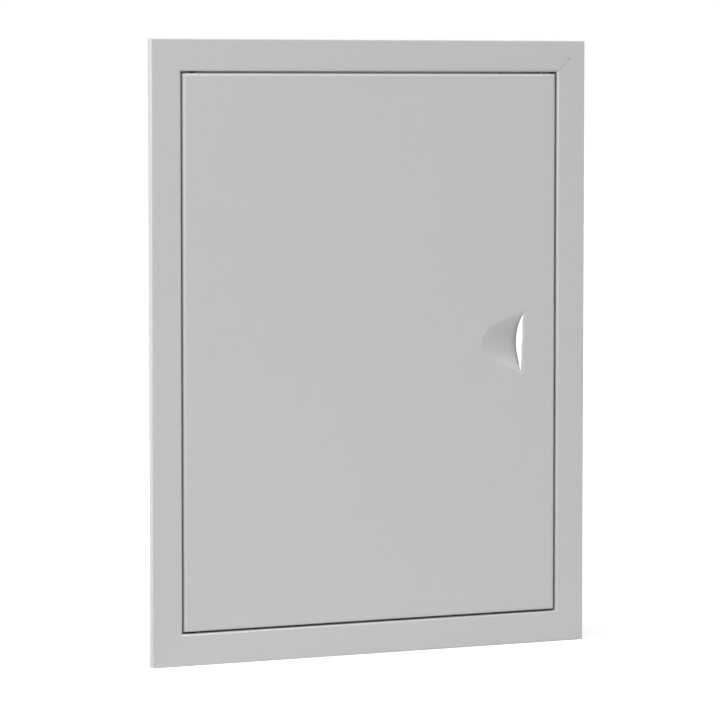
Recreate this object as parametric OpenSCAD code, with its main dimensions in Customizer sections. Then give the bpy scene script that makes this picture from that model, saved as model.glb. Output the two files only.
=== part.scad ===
/* [Opening and door] */
// Clear width between the frame's side returns
opening_w = 300; // [240:5:400]
// Clear height between the frame's top and bottom returns
opening_h = 400; // [320:5:600]
// Gap between the door and the frame on every side
door_gap = 1.2; // [1:0.1:1.6]
// Thickness of the door's sheet
door_sheet = 0.8; // [0.6:0.1:1.2]
// Depth of the door's folded returns, from its front face
door_depth = 14; // [12:1:18]
// Outer radius of the door's folded edges
door_bend_r = 2.5; // [1.6:0.1:2.8]

/* [Frame] */
// Width of the frame's face, from the opening to its outer edge
frame_border = 23; // [18:1:40]
// Depth of the frame's returns, from its front face
frame_depth = 25; // [24:1:40]
// Thickness of the frame's sheet
frame_sheet = 0.8; // [0.6:0.1:1.2]
// Width of the stop flange, turned in at the back of the returns
frame_flange = 12; // [8:1:13]
// Depth of the lip that meets the wall
lip_depth = 6; // [4:0.5:10]
// Outer radius of the folds round the opening
frame_bend_r = 1.8; // [1.3:0.1:2.2]
// Outer radius of the fold at the outer edge
lip_bend_r = 1.1; // [1:0.1:2]
// Width of the seam between mitred rails
mitre_seam = 0.15; // [0.05:0.05:0.4]

/* [Corner plates] */
// Thickness of the plates welded behind the mitres
plate_t = 1; // [0.8:0.1:2]
// Width of a plate's leg
plate_w = 17; // [12:1:18]
// Length of a plate's leg along its rail
plate_len = 42; // [30:1:60]
// Distance of a plate from the opening's edge
plate_inset = 2.5; // [2:0.5:4]

/* [Finger pull] */
// Distance of the slit from the door's free edge
pull_inset = 26.5; // [22:0.5:60]
// Height of the slit
pull_h = 42; // [30:1:60]
// Depth of the pressed scoop at the slit
pull_depth = 8; // [6:0.5:10]
// Length of the scoop, from its tip to the slit
pull_len = 35; // [28:1:60]
// Height of the pull above the door's centre
pull_z = 1; // [-20:1:20]

/* [Hinge] */
// Distance of the pivot from the door's hinged edge
pivot_in = 10; // [9.5:0.5:14]
// Distance of the pivot behind the door's front face
pivot_back = 6; // [5.75:0.25:6.25]
// Radius of the pivot pins
pin_r = 1.5; // [1.25:0.05:1.75]
// Radial clearance of a pin in its bush
pin_clearance = 0.06; // [0.04:0.01:0.1]
// How far a pin reaches into the door
pin_reach = 8; // [6:0.5:12]
// Radius of a pin's collar and of its riveted head
pin_head_r = 3; // [2.6:0.1:3.6]
// Thickness of a pin's riveted head
pin_head_t = 1.2; // [0.8:0.1:2]
// Wall of the plastic bush round a pin
bush_wall = 1.1; // [0.8:0.1:1.2]
// Radius of a bush's flange
bush_flange_r = 3.8; // [3.4:0.1:4.2]
// Thickness of a bush's flange
bush_flange_t = 1; // [0.6:0.1:2]
// Running clearance between a collar and the door
collar_clearance = 0.3; // [0.2:0.05:0.5]
// Thickness of a hinge bracket
hinge_plate_t = 1.5; // [1:0.1:2]
// How far a hinge bracket lies inside the door's rear edge
hinge_set = 0.8; // [0.4:0.1:1.5]
// Length of a hinge bracket's leg across the door
hinge_leg_x = 30; // [22:1:60]
// Length of a hinge bracket's leg down the door
hinge_leg_z = 26; // [16:1:60]

/* [Magnetic catches] */
// Distance of each catch's middle from the opening's nearer end
catch_end = 130; // [125:1:132]
// Width of a catch's housing, across the door
catch_w = 11; // [10:0.5:12]
// Height of a catch's housing
catch_h = 46; // [42:1:54]
// Distance of a housing from the frame's side return
catch_inset = 0.8; // [0.5:0.1:2]
// Distance from the strike to the magnet's pole plates
catch_air = 0.3; // [0.2:0.05:0.5]
// How far the pole plates stand out of the housing
pole_proud = 0.8; // [0.5:0.1:1.2]
// Thickness of a pole plate
pole_t = 1.2; // [1:0.1:1.6]
// Length of the pole plates and of the magnet
pole_len = 22; // [16:1:24]
// Thickness of the magnet between its pole plates
magnet_t = 3; // [2:0.25:4]
// Floor of the housing behind the magnet
catch_floor = 1.5; // [1:0.1:2]
// Slip of the pole plates in the housing
pole_slip = 0.1; // [0.05:0.05:0.2]
// Radius of the catch screws
catch_screw_r = 1.5; // [1.2:0.1:1.6]
// Radius of the catch screws' heads
catch_head_r = 2.8; // [2.4:0.1:3]
// Distance between the two screws of a catch
catch_screw_gap = 34; // [33:0.5:38]
// Thickness of a strike plate
strike_t = 1.2; // [1:0.1:1.6]
// How far a strike lies inside the door's rear edge
strike_set = 0.8; // [0.4:0.1:1.5]
// Height of a strike plate
strike_h = 34; // [26:1:46]

/* [Wall fixings] */
// Radius of the fixing holes in the returns
fixing_r = 2.6; // [2:0.1:3]
// Distance of the fixing holes behind the front face
fixing_back = 19; // [18:0.5:20]
// Distance of the side fixing holes from the opening's nearer end
fixing_end_z = 85; // [75:1:90]
// Distance of the top and bottom fixing holes from the opening's nearer side
fixing_end_x = 60; // [50:1:90]
// Distance of each wall anchor's middle from the opening's nearer end
anchor_end = 45; // [40:1:50]
// Width of a wall anchor
anchor_w = 18; // [16:1:24]
// Thickness of a wall anchor
anchor_t = 1.2; // [1:0.1:2]
// How far a wall anchor stands out behind the frame
anchor_reach = 18; // [10:1:20]
// Depth of the split at a wall anchor's end
anchor_split = 6; // [3:1:8]
// Radius of the anchors' rivets
rivet_r = 1.6; // [1.2:0.1:2]
// Radius of the rivets' heads
rivet_head_r = 3; // [2.4:0.1:3.2]
// Thickness of the rivets' heads
rivet_head_t = 0.9; // [0.6:0.1:1.2]
// Distance between an anchor's two rivets
rivet_gap = 9; // [7:0.5:10]
// Overlap of a wall anchor on the frame's return
anchor_lap = 9; // [8:0.5:10]

/* [Hidden] */
$fn = 48;
// How far a cutting shape runs past what it cuts
past = 1;
// Gap between a fold's inner radius and a piece seated beside it
bend_clear = 0.2;
// Straight land at the rim of a countersunk head
head_land = 0.3;
// Front face of the frame and of the door, ahead of the wall plane at y = 0
face_y = -lip_depth;
door_w = opening_w - 2 * door_gap;
door_h = opening_h - 2 * door_gap;
// Depth behind the door's face at which a piece seated in its fold may start
fold_land = door_bend_r + bend_clear;
// Finger pull
pull_x = door_w / 2 - pull_inset;
pull_tilt = atan(pull_depth / pull_len);
pull_sag = pull_depth * cos(pull_tilt);
pull_r = (pow(pull_h / 2, 2) + pow(pull_sag, 2)) / (2 * pull_sag);
// Hinge
pivot_x = -door_w / 2 + pivot_in;
pivot_y = face_y + pivot_back;
collar_t = door_gap - collar_clearance;
bush_r = pin_r + bush_wall;
// Catches
catch_z = opening_h / 2 - catch_end;
strike_back = door_depth - strike_set;
pole_front = strike_back + catch_air;
housing_front = pole_front + pole_proud;
housing_back = frame_depth - frame_sheet;
housing_x = opening_w / 2 - catch_inset - catch_w / 2;
magnet_back = housing_back - catch_floor;
strike_leg = catch_inset + catch_w - door_gap - door_sheet;
// Wall fixings
fixing_gap_z = opening_h - 2 * fixing_end_z;
fixing_gap_x = opening_w - 2 * fixing_end_x;
anchor_z = opening_h / 2 - anchor_end;
anchor_front = frame_depth - anchor_lap;
rivet_back = frame_depth - anchor_lap / 2;

// A flat shape of width w and depth d whose two front corners are rounded
module round_front(w, d, r_low, r_high) {
    translate([0, r_low]) square([w / 2, d - r_low]);
    translate([w / 2, r_high]) square([w / 2, d - r_high]);
    translate([r_low, 0]) square([w - r_low - r_high, d]);
    translate([r_low, r_low]) circle(r_low);
    translate([w - r_high, r_high]) circle(r_high);
}

// Section of a frame rail: x runs outward from the opening, y runs back
module rail_section() {
    inner_w = frame_border - 2 * frame_sheet;
    inner_r = frame_bend_r - frame_sheet;
    difference() {
        round_front(frame_border, frame_depth, frame_bend_r, lip_bend_r);
        translate([frame_sheet, frame_sheet])
            round_front(inner_w, frame_depth, inner_r, lip_bend_r - frame_sheet);
        translate([frame_sheet, lip_depth]) square([frame_border, frame_depth]);
        translate([-past, frame_depth / 2]) square([2 * past, frame_depth]);
    }
    translate([frame_sheet, frame_depth])
        rotate([0, 0, 180])
            difference() {
                round_front(frame_flange + frame_sheet, frame_depth / 2, frame_bend_r, frame_sheet);
                translate([frame_sheet, frame_sheet])
                    round_front(2 * frame_flange, frame_depth, inner_r, frame_sheet);
            }
}

// A rail along z, outside a side of the opening, mitred at both ends
module rail(across, along) {
    cut = 2 * frame_border + frame_depth;
    difference() {
        translate([across / 2, face_y, 0])
            linear_extrude(height = along + 2 * frame_border, center = true) rail_section();
        for (side = [0, 1])
            mirror([0, 0, side])
                translate([across / 2, 0, along / 2 - mitre_seam / 2])
                    rotate([0, -45, 0])
                        translate([-cut, face_y - past, 0]) cube([3 * cut, frame_depth + 2 * past, cut]);
    }
}

// Round holes through the return of a rail at x = at, spaced along z
module return_holes(at, back, gap, r) {
    for (side = [-1, 1])
        translate([at, face_y + back, side * gap / 2])
            rotate([0, 90, 0]) cylinder(r = r, h = 2 * (frame_sheet + past), center = true);
}

module side_rail() {
    difference() {
        rail(opening_w, opening_h);
        return_holes(opening_w / 2, fixing_back, fixing_gap_z, fixing_r);
        for (side = [-1, 1])
            translate([0, 0, side * anchor_z])
                return_holes(opening_w / 2, rivet_back, rivet_gap, rivet_r);
    }
}

// A rail along z that becomes the top rail when z is turned to -x; it has the pivot pin's hole
module cross_rail() {
    difference() {
        rail(opening_h, opening_w);
        return_holes(opening_h / 2, fixing_back, fixing_gap_x, fixing_r);
        translate([opening_h / 2, pivot_y, -pivot_x])
            rotate([0, 90, 0]) cylinder(r = pin_r, h = 2 * (frame_sheet + past), center = true);
    }
}

module frame_top_rail() {
    color("#c3c4c4") rotate([0, -90, 0]) cross_rail();
}

module frame_bottom_rail() {
    color("#c3c4c4") mirror([0, 0, 1]) rotate([0, -90, 0]) cross_rail();
}

module frame_left_rail() {
    color("#c3c4c4") mirror([1, 0, 0]) side_rail();
}

module frame_right_rail() {
    color("#c3c4c4")
        difference() {
            side_rail();
            for (up = [-1, 1], side = [-1, 1])
                translate([housing_x, face_y + housing_front, up * catch_z + side * catch_screw_gap / 2])
                    rotate([-90, 0, 0]) cylinder(r = catch_screw_r, h = frame_depth);
        }
}

// An L-shaped plate flat behind the face of two rails, at the corner side_x, side_z
module corner_plate(side_x, side_z) {
    color("#b9baba")
        mirror([side_x < 0 ? 1 : 0, 0, 0])
            mirror([0, 0, side_z < 0 ? 1 : 0])
                translate([opening_w / 2 + plate_inset, face_y + frame_sheet, opening_h / 2 + plate_inset])
                    difference() {
                        translate([plate_w - plate_len, 0, plate_w - plate_len])
                            cube([plate_len, plate_t, plate_len]);
                        translate([-plate_len, -past, -plate_len])
                            cube([plate_len, plate_t + 2 * past, plate_len]);
                    }
}

// A box whose front edges are folded round; inset by one sheet it is the door's inside
module folded_box(w, h, d, r) {
    intersection() {
        linear_extrude(height = h, center = true)
            translate([-w / 2, 0]) round_front(w, d, r, r);
        rotate([0, -90, 0])
            linear_extrude(height = w, center = true)
                translate([-h / 2, 0]) round_front(h, d, r, r);
    }
}

module door_tray() {
    translate([0, face_y, 0])
        difference() {
            folded_box(door_w, door_h, door_depth, door_bend_r);
            translate([0, door_sheet, 0])
                folded_box(door_w - 2 * door_sheet, door_h - 2 * door_sheet,
                           door_depth, door_bend_r - door_sheet);
        }
}

// The slanting cylinder that presses the scoop, kept left of the slit
module scoop(r, front) {
    reach = pull_len + 2 * pull_r;
    intersection() {
        translate([pull_x, face_y + pull_depth, pull_z])
            rotate([0, 0, pull_tilt])
                translate([0, -pull_r, 0])
                    rotate([0, 90, 0]) cylinder(r = r, h = 2 * reach, center = true, $fn = 96);
        translate([pull_x - reach, face_y + front, pull_z - pull_h])
            cube([reach, 2 * pull_depth - front, 2 * pull_h]);
    }
}

module door_panel() {
    color("#c3c4c4")
        difference() {
            union() {
                door_tray();
                scoop(pull_r + door_sheet, door_sheet / 2);
            }
            scoop(pull_r, -past);
            for (side = [0, 1])
                mirror([0, 0, side])
                    translate([pivot_x, pivot_y, door_h / 2 - door_sheet - past])
                        cylinder(r = bush_r, h = door_sheet + 2 * past);
        }
}

// Lower hinge bracket: an angle in the door's corner that holds the pivot bush
module hinge_bracket() {
    corner_x = -door_w / 2 + door_sheet;
    corner_z = -door_h / 2 + door_sheet;
    front = face_y + fold_land;
    depth = door_depth - hinge_set - fold_land;
    color("#a9acae")
        difference() {
            union() {
                translate([corner_x, front, corner_z])
                    cube([hinge_leg_x, depth, hinge_plate_t]);
                translate([corner_x, front, corner_z])
                    cube([hinge_plate_t, depth, hinge_leg_z]);
            }
            translate([pivot_x, pivot_y, corner_z - past])
                cylinder(r = bush_r, h = hinge_plate_t + 2 * past);
        }
}

// Lower bush: its sleeve fills the door's return and the bracket, its flange sits on the bracket
module pivot_bush() {
    color("#e9e7df")
        translate([pivot_x, pivot_y, -door_h / 2])
            difference() {
                union() {
                    cylinder(r = bush_r, h = door_sheet + hinge_plate_t + bush_flange_t);
                    translate([0, 0, door_sheet + hinge_plate_t])
                        cylinder(r = bush_flange_r, h = bush_flange_t);
                }
                translate([0, 0, -past])
                    cylinder(r = pin_r + pin_clearance, h = pin_reach + 2 * past);
            }
}

// Lower pin: riveted through the frame's return, with a collar that carries the door
module pivot_pin() {
    chamfer = pin_r / 4;
    color("#b4b7ba")
        translate([pivot_x, pivot_y, 0]) {
            translate([0, 0, -opening_h / 2 - frame_sheet - pin_head_t])
                cylinder(r = pin_head_r, h = pin_head_t);
            translate([0, 0, -opening_h / 2 - frame_sheet - pin_head_t])
                cylinder(r = pin_r, h = pin_head_t + frame_sheet + door_gap + pin_reach - chamfer);
            translate([0, 0, -opening_h / 2])
                cylinder(r = pin_head_r, h = collar_t);
            translate([0, 0, -door_h / 2 + pin_reach - chamfer])
                cylinder(r1 = pin_r, r2 = pin_r - chamfer, h = chamfer);
        }
}

module upper_hinge_bracket() {
    mirror([0, 0, 1]) hinge_bracket();
}

module lower_hinge_bracket() {
    hinge_bracket();
}

module upper_pivot_bush() {
    mirror([0, 0, 1]) pivot_bush();
}

module lower_pivot_bush() {
    pivot_bush();
}

module upper_pivot_pin() {
    mirror([0, 0, 1]) pivot_pin();
}

module lower_pivot_pin() {
    pivot_pin();
}

// Strike: an angle inside the door's free return, its flat leg facing the magnet
module strike_plate() {
    outer_x = door_w / 2 - door_sheet;
    front = face_y + fold_land;
    color("#b4b7ba")
        translate([0, 0, -strike_h / 2]) {
            translate([outer_x - strike_leg, face_y + strike_back - strike_t, 0])
                cube([strike_leg, strike_t, strike_h]);
            translate([outer_x - strike_t, front, 0])
                cube([strike_t, face_y + strike_back - front, strike_h]);
        }
}

// Space of one countersunk screw, its head flush with y = 0
module screw_body(extra) {
    head_t = catch_head_r - catch_screw_r;
    rotate([-90, 0, 0]) {
        translate([0, 0, -extra]) cylinder(r = catch_head_r, h = extra + head_land);
        translate([0, 0, head_land]) cylinder(r1 = catch_head_r, r2 = catch_screw_r, h = head_t);
        cylinder(r = catch_screw_r, h = frame_depth - housing_front);
    }
}

module catch_housing() {
    room_x = magnet_t + 2 * pole_t + 2 * pole_slip;
    room_z = pole_len + 2 * pole_slip;
    color("#5b5d5f")
        translate([housing_x, face_y + housing_front, 0])
            difference() {
                translate([-catch_w / 2, 0, -catch_h / 2])
                    cube([catch_w, housing_back - housing_front, catch_h]);
                translate([-room_x / 2, -past, -room_z / 2])
                    cube([room_x, magnet_back - housing_front + past, room_z]);
                for (side = [-1, 1])
                    translate([0, 0, side * catch_screw_gap / 2]) screw_body(past);
            }
}

module catch_magnet() {
    color("#3a3b3d")
        translate([housing_x - magnet_t / 2, face_y + housing_front, -pole_len / 2])
            cube([magnet_t, magnet_back - housing_front, pole_len]);
}

module pole_plates() {
    color("#b4b7ba")
        for (side = [0, 1])
            translate([housing_x, 0, 0])
                mirror([side, 0, 0])
                    translate([magnet_t / 2, face_y + pole_front, -pole_len / 2])
                        cube([pole_t, magnet_back - pole_front, pole_len]);
}

module catch_screws() {
    cross_w = 0.8;
    cross_t = 0.9;
    cross_len = 2 * catch_head_r - cross_w;
    color("#c9cbcd")
        for (up = [-1, 1], side = [-1, 1])
            translate([housing_x, face_y + housing_front, up * catch_z + side * catch_screw_gap / 2])
                difference() {
                    screw_body(0);
                    for (turn = [0, 90])
                        rotate([0, turn, 0])
                            translate([-cross_w / 2, -past, -cross_len / 2])
                                cube([cross_w, cross_t + past, cross_len]);
                }
}

module upper_strike_plate() {
    translate([0, 0, catch_z]) strike_plate();
}

module lower_strike_plate() {
    translate([0, 0, -catch_z]) strike_plate();
}

module upper_catch_housing() {
    translate([0, 0, catch_z]) catch_housing();
}

module lower_catch_housing() {
    translate([0, 0, -catch_z]) catch_housing();
}

module upper_catch_magnet() {
    translate([0, 0, catch_z]) catch_magnet();
}

module lower_catch_magnet() {
    translate([0, 0, -catch_z]) catch_magnet();
}

module upper_pole_plates() {
    translate([0, 0, catch_z]) pole_plates();
}

module lower_pole_plates() {
    translate([0, 0, -catch_z]) pole_plates();
}

// A strip flat on the outside of the frame's return, split at its end
module wall_anchor(side_x, side_z) {
    rear = anchor_lap + anchor_reach;
    color("#a9acae")
        mirror([side_x < 0 ? 1 : 0, 0, 0])
            translate([opening_w / 2 + frame_sheet, face_y + anchor_front, side_z * anchor_z])
                difference() {
                    translate([0, 0, -anchor_w / 2]) cube([anchor_t, rear, anchor_w]);
                    translate([-past, rear, 0])
                        rotate([0, 90, 0])
                            linear_extrude(height = anchor_t + 2 * past)
                                polygon([[-anchor_w / 3, past], [0, -anchor_split], [anchor_w / 3, past]]);
                    for (side = [-1, 1])
                        translate([-past, anchor_lap / 2, side * rivet_gap / 2])
                            rotate([0, 90, 0]) cylinder(r = rivet_r, h = anchor_t + 2 * past);
                }
}

// One rivet along x: a flat head inside the opening, a domed head on the anchor
module anchor_rivet() {
    grip = frame_sheet + anchor_t;
    dome_r = (pow(rivet_head_r, 2) + pow(rivet_head_t, 2)) / (2 * rivet_head_t);
    rotate([0, 90, 0]) {
        translate([0, 0, -rivet_head_t]) cylinder(r = rivet_head_r, h = rivet_head_t);
        cylinder(r = rivet_r, h = grip);
        translate([0, 0, grip])
            intersection() {
                translate([0, 0, rivet_head_t - dome_r]) sphere(r = dome_r);
                cylinder(r = rivet_head_r + past, h = rivet_head_t + past);
            }
    }
}

module anchor_rivets() {
    color("#b4b7ba")
        for (side_x = [0, 1], up = [-1, 1], side = [-1, 1])
            mirror([side_x, 0, 0])
                translate([opening_w / 2, face_y + rivet_back, up * anchor_z + side * rivet_gap / 2])
                    anchor_rivet();
}

frame_top_rail();
frame_bottom_rail();
frame_left_rail();
frame_right_rail();
corner_plate(-1, 1);  // corner_plate_top_left
corner_plate(1, 1);  // corner_plate_top_right
corner_plate(-1, -1);  // corner_plate_bottom_left
corner_plate(1, -1);  // corner_plate_bottom_right
door_panel();
upper_hinge_bracket();
lower_hinge_bracket();
upper_pivot_bush();
lower_pivot_bush();
upper_pivot_pin();
lower_pivot_pin();
upper_strike_plate();
lower_strike_plate();
upper_catch_housing();
lower_catch_housing();
upper_catch_magnet();
lower_catch_magnet();
upper_pole_plates();
lower_pole_plates();
catch_screws();
wall_anchor(-1, 1);  // left_upper_anchor
wall_anchor(-1, -1);  // left_lower_anchor
wall_anchor(1, 1);  // right_upper_anchor
wall_anchor(1, -1);  // right_lower_anchor
anchor_rivets();
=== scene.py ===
"""Visual model of a wall access panel: a mitred frame of folded sheet, a flush door and what holds them."""

from __future__ import annotations

import logging
import math
from dataclasses import dataclass
from enum import Enum
from typing import Any, Callable, Iterable, Sequence

import bmesh
import bpy
from mathutils import Matrix, Vector

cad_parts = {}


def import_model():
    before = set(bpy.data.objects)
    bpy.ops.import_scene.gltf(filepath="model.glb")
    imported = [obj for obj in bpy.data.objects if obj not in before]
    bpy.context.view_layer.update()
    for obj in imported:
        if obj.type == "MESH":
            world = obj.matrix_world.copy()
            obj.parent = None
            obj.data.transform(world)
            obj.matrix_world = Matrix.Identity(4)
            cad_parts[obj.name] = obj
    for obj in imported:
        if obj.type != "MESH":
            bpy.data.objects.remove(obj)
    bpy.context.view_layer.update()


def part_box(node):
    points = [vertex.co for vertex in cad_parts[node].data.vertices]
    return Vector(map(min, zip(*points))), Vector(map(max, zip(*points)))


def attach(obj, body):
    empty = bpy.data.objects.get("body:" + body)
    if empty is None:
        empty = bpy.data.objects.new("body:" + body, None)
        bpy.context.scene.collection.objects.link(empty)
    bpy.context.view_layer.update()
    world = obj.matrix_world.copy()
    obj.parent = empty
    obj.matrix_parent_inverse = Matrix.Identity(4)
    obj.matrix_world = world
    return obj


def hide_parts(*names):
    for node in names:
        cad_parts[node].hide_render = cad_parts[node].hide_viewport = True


log = logging.getLogger("access_panel")

MM = 0.001
TINY = 1e-7  # metres: places closer than this are the same place
SHARP, BENT = math.radians(60), math.radians(25)  # angles between faces at a sheet's cut edge and at a corner
FINE, COARSE = 40, 28  # facets of a full turn
X, Y, Z = Vector((1, 0, 0)), Vector((0, 1, 0)), Vector((0, 0, 1))

Colour = tuple[float, float, float, float]
Point2 = tuple[float, float]
Mesh = bmesh.types.BMesh
Edge = bmesh.types.BMEdge
Object = bpy.types.Object


class Side(str, Enum):
    """The four sides of the frame, named as seen from the front."""

    TOP = "top"
    BOTTOM = "bottom"
    LEFT = "left"
    RIGHT = "right"


class Level(str, Enum):
    """The upper and the lower one of a pair, with its direction from the middle."""

    UPPER = "upper"
    LOWER = "lower"

    @property
    def up(self) -> int:
        """1 for the upper one and -1 for the lower one."""
        return 1 if self is Level.UPPER else -1


class Body(str, Enum):
    """The two rigid bodies of the panel."""

    FRAME = "frame"
    DOOR = "door"


class Slot(str, Enum):
    """The record's material slots."""

    FRAME_COAT = "frame_coat"
    DOOR_COAT = "door_coat"
    ZINC = "zinc_sheet"
    BRIGHT = "bright_steel"
    BUSH = "bush_plastic"
    CATCH = "catch_plastic"
    MAGNET = "magnet"


@dataclass(frozen=True)
class Wire:
    """A shader socket that takes part in Python expressions."""

    graph: Graph
    socket: bpy.types.NodeSocket | None

    def sibling(self, name: str) -> Wire:
        """Another output of the same node."""
        return Wire(self.graph, self.socket.node.outputs[name])

    def math(self, operation: str, first: Any, second: Any) -> Wire:
        """Add one Math node and return its result."""
        return self.graph.node("Math", {0: first, 1: second}, operation=operation)

    def __add__(self, other: Any) -> Wire:
        """Sum with a number or a wire."""
        return self.math("ADD", self, other)

    def __radd__(self, other: Any) -> Wire:
        """Sum with a number on the left."""
        return self.math("ADD", other, self)

    def __sub__(self, other: Any) -> Wire:
        """Difference with a number or a wire."""
        return self.math("SUBTRACT", self, other)

    def __mul__(self, other: Any) -> Wire:
        """Product with a number or a wire."""
        return self.math("MULTIPLY", self, other)

    def at_least(self, other: Any) -> Wire:
        """The greater of this wire and another value."""
        return self.math("MAXIMUM", self, other)

    def ramp(self, low: float, high: float) -> Wire:
        """A smooth step from 0 at low to 1 at high."""
        ends = {"Value": self, "From Min": low, "From Max": high}
        return self.graph.node("MapRange", ends, interpolation_type="SMOOTHSTEP")


@dataclass(frozen=True)
class Graph:
    """The node tree of one material or world; it is emptied first."""

    tree: bpy.types.NodeTree

    def __post_init__(self) -> None:
        """Empty the tree."""
        self.tree.nodes.clear()

    def node(self, kind: str, inputs: dict[Any, Any] | None = None, output: Any = 0, **settings: Any) -> Wire:
        """Add one shader node.

        Args:
            kind: The node's type, without the prefix that all shader nodes share.
            inputs: Values or wires for its input sockets, by index or name.
            output: Index or name of the output socket to return.
            settings: Attributes of the node, set before its sockets.

        Returns:
            The chosen output, as a wire.
        """
        made = self.tree.nodes.new("ShaderNode" + kind)
        for name, value in settings.items():
            setattr(made, name, value)
        for key, value in (inputs or {}).items():
            if isinstance(value, Wire):
                self.tree.links.new(value.socket, made.inputs[key])
            else:
                made.inputs[key].default_value = value
        return Wire(self, made.outputs[output] if len(made.outputs) else None)

    def place(self, stretch: Sequence[float] | None = None) -> Wire:
        """Object coordinates in metres, each axis times its factor; a small factor draws a pattern out."""
        spot = self.node("TexCoord", output="Object")
        return self.node("Mapping", {"Vector": spot, "Scale": stretch}) if stretch else spot

    def noise(self, scale: float, detail: float = 2.0, stretch: Sequence[float] | None = None) -> Wire:
        """Noise from 0 to 1, in cells per metre, with octaves of detail."""
        inputs = {"Vector": self.place(stretch), "Scale": scale, "Detail": detail, "Roughness": 0.5}
        return self.node("TexNoise", inputs, "Fac")

    def cells(self, scale: float) -> Wire:
        """A random value from 0 to 1 for each cell of a Voronoi pattern, with so many cells per metre."""
        colour = self.node("TexVoronoi", {"Vector": self.place(), "Scale": scale}, "Color", feature="F1")
        return self.node("SeparateColor", {"Color": colour}, "Red")

    def distance(self, spot: Vector) -> Wire:
        """Distance of the shaded point from a spot, in metres."""
        return self.node("VectorMath", {0: self.place(), 1: tuple(spot)}, "Value", operation="DISTANCE")

    def blend(self, factor: Any, first: Any, second: Any) -> Wire:
        """Mix two colours; the factor is the share of the second one."""
        inputs = {0: factor, 6: first, 7: second}
        return self.node("Mix", inputs, 2, data_type="RGBA", blend_type="MIX", clamp_factor=True)

    def bump(self, height: Wire, distance: float, under: Wire | None = None) -> Wire:
        """A normal tilted by a height field of so many metres at value 1, over another tilted normal."""
        base = {} if under is None else {"Normal": under}
        return self.node("Bump", {"Height": height, "Distance": distance, "Strength": 1.0, **base})


def grey(red: float, green: float, blue: float, factor: float = 1.0) -> Colour:
    """A linear colour, made lighter or darker by one factor."""
    return (red * factor, green * factor, blue * factor, 1.0)


def scaled(colour: Colour, factor: float) -> Colour:
    """A colour made lighter or darker by one factor."""
    return grey(*colour[:3], factor)


@dataclass(frozen=True)
class Coat:
    """A finish's Blender material and the record's slot that it stands for."""

    material: bpy.types.Material
    slot: Slot


@dataclass(frozen=True)
class Finish:
    """Common ground of the surface finishes."""

    name: str
    slot: Slot

    def paint(self, graph: Graph) -> dict[str, Any]:
        """Lay the finish on in a material's graph.

        Args:
            graph: The graph.

        Returns:
            The Principled shader's inputs.
        """
        raise NotImplementedError

    def build(self) -> Coat:
        """Make the Blender material.

        Returns:
            The material, with the slot that it stands for.
        """
        material = bpy.data.materials.new(self.name)
        material.use_nodes = True
        graph = Graph(material.node_tree)
        shader = graph.node("BsdfPrincipled", self.paint(graph), "BSDF")
        graph.node("OutputMaterial", {"Surface": shader})
        return Coat(material, self.slot)


@dataclass(frozen=True)
class PowderCoat(Finish):
    """Satin powder coat on sheet steel: faint orange peel over a sheet that isn't quite flat."""

    colour: Colour = grey(0.5, 0.502, 0.502)
    gloss: float = 0.42
    peel: float = 2.5e-6
    waviness: float = 5.0e-5

    def paint(self, graph: Graph) -> dict[str, Any]:
        """Lay the finish on in a material's graph.

        Args:
            graph: The graph.

        Returns:
            The Principled shader's inputs.
        """
        drift = graph.noise(7.0, 3.0)
        speck = graph.noise(2600.0, 1.0)
        smudge = graph.noise(34.0, 4.0)
        shade = graph.blend(drift, scaled(self.colour, 0.985), scaled(self.colour, 1.015))
        shade = graph.blend((speck - 0.72) * 6.0, shade, scaled(self.colour, 0.9))
        sheet = graph.bump(graph.noise(5.5), self.waviness)
        return {
            "Base Color": shade,
            "Roughness": self.gloss + (smudge - 0.5) * 0.08 + (speck - 0.5) * 0.05,
            "Normal": graph.bump(graph.noise(1100.0), self.peel, sheet),
        }


@dataclass(frozen=True)
class ZincSheet(Finish):
    """Zinc plated sheet: dull, with the soft patches of the plating and fine rolling lines."""

    colour: Colour = grey(0.48, 0.495, 0.51)
    rough: float = 0.34
    lines: float = 2.0e-6

    def paint(self, graph: Graph) -> dict[str, Any]:
        """Lay the finish on in a material's graph.

        Args:
            graph: The graph.

        Returns:
            The Principled shader's inputs.
        """
        patch = graph.cells(240.0)
        stain = graph.noise(90.0, 4.0)
        shade = graph.blend(patch, scaled(self.colour, 0.86), scaled(self.colour, 1.1))
        return {
            "Base Color": graph.blend((stain - 0.55) * 1.6, shade, scaled(self.colour, 0.72)),
            "Metallic": 1.0,
            "Roughness": self.rough + patch * 0.12 + stain * 0.1,
            "Normal": graph.bump(graph.noise(2200.0, 2.0, (1.0, 1.0, 0.03)), self.lines),
        }


@dataclass(frozen=True)
class PlatedSteel(Finish):
    """Turned or pressed steel with a thin plating: fine turning marks and a little tarnish."""

    colour: Colour = grey(0.62, 0.63, 0.64)
    rough: float = 0.24
    marks: float = 1.5e-6

    def paint(self, graph: Graph) -> dict[str, Any]:
        """Lay the finish on in a material's graph.

        Args:
            graph: The graph.

        Returns:
            The Principled shader's inputs.
        """
        marks = graph.noise(3200.0, 2.0, (1.0, 0.15, 1.0))
        tarnish = graph.noise(160.0, 3.0)
        return {
            "Base Color": graph.blend(tarnish, self.colour, scaled(self.colour, 0.78)),
            "Metallic": 1.0,
            "Roughness": self.rough + tarnish * 0.16 + marks * 0.06,
            "Normal": graph.bump(marks, self.marks),
        }


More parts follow.
